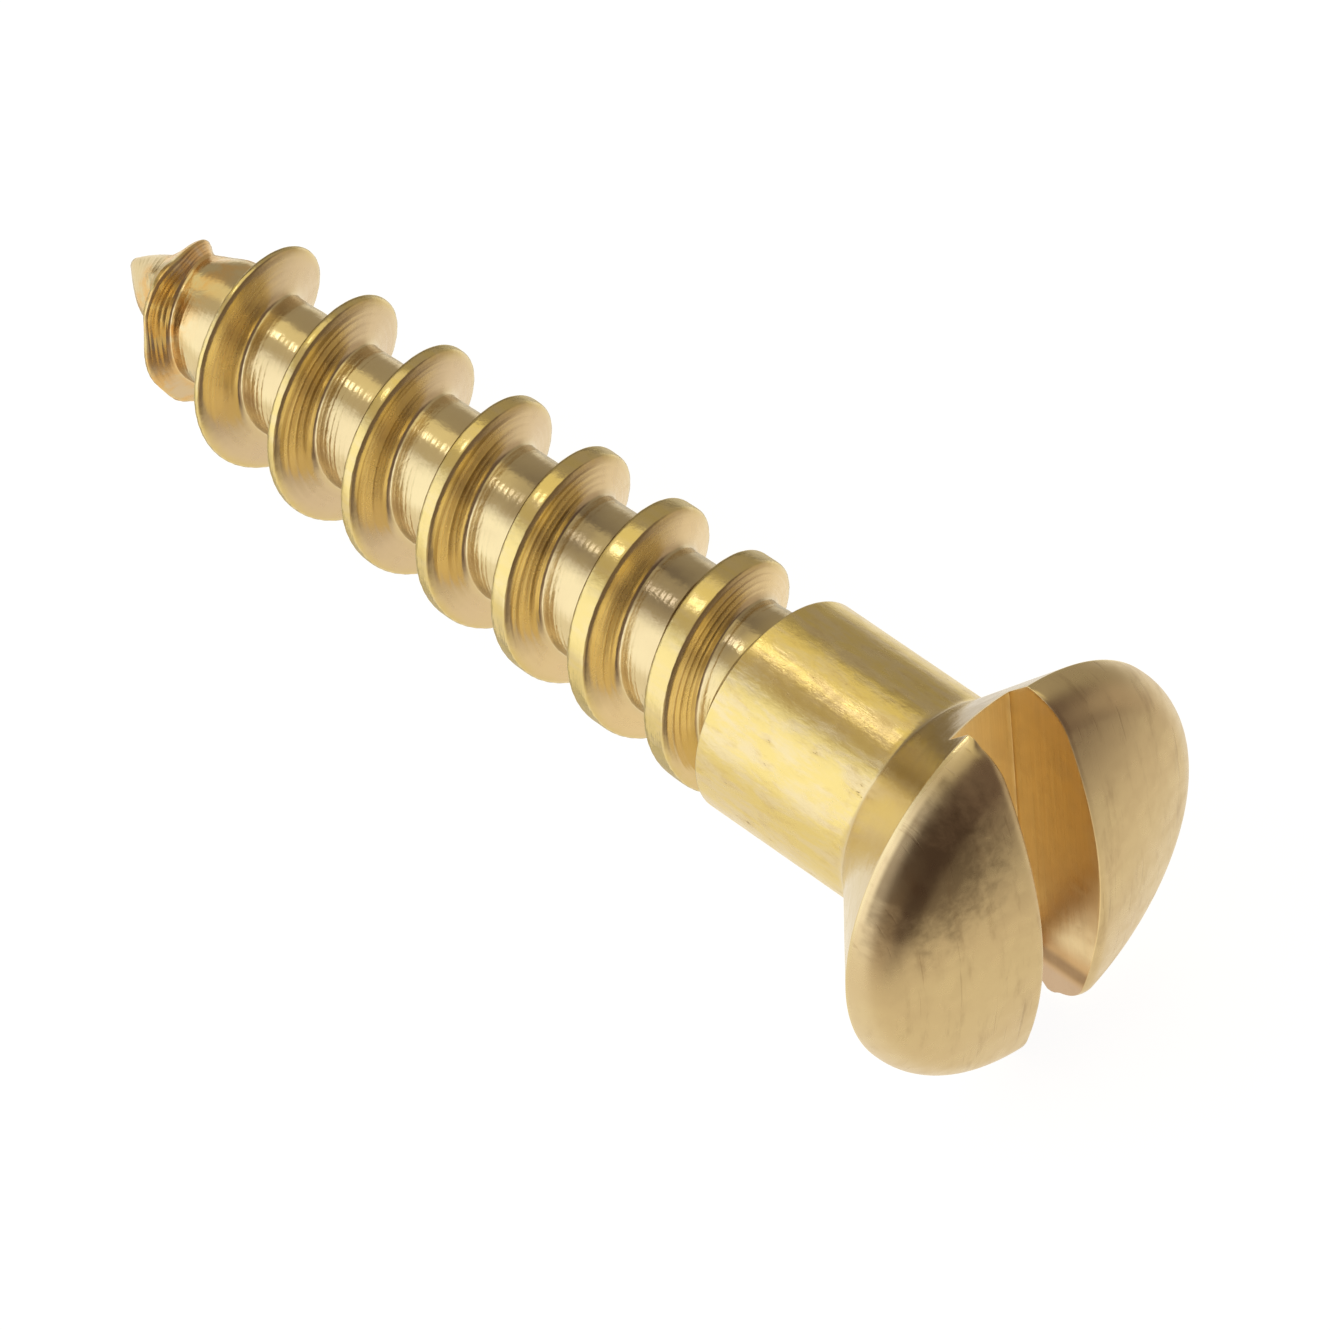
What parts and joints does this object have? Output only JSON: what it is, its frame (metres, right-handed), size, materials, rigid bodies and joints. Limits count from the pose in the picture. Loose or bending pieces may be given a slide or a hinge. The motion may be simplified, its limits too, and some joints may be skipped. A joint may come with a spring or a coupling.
{
  "type": "wood screw",
  "caption": "Slotted raised countersunk wood screw in solid brass, with a short plain shank and a deep thread that ends in a gimlet point.",
  "frame": {"origin": "on the screw's axis, in the plane of the head's rim, where the surface of the wood would be", "axes": "+X along the axis toward the domed top, -X toward the point, Z along the screwdriver slot"},
  "size_m": [0.0195, 0.0066, 0.0066],
  "materials": {
    "wood_screw": "turned and worn, satin to bright"
  },
  "bodies": {
    "root": {"wood_screw": "wood_screw"}
  },
  "joints": []
}
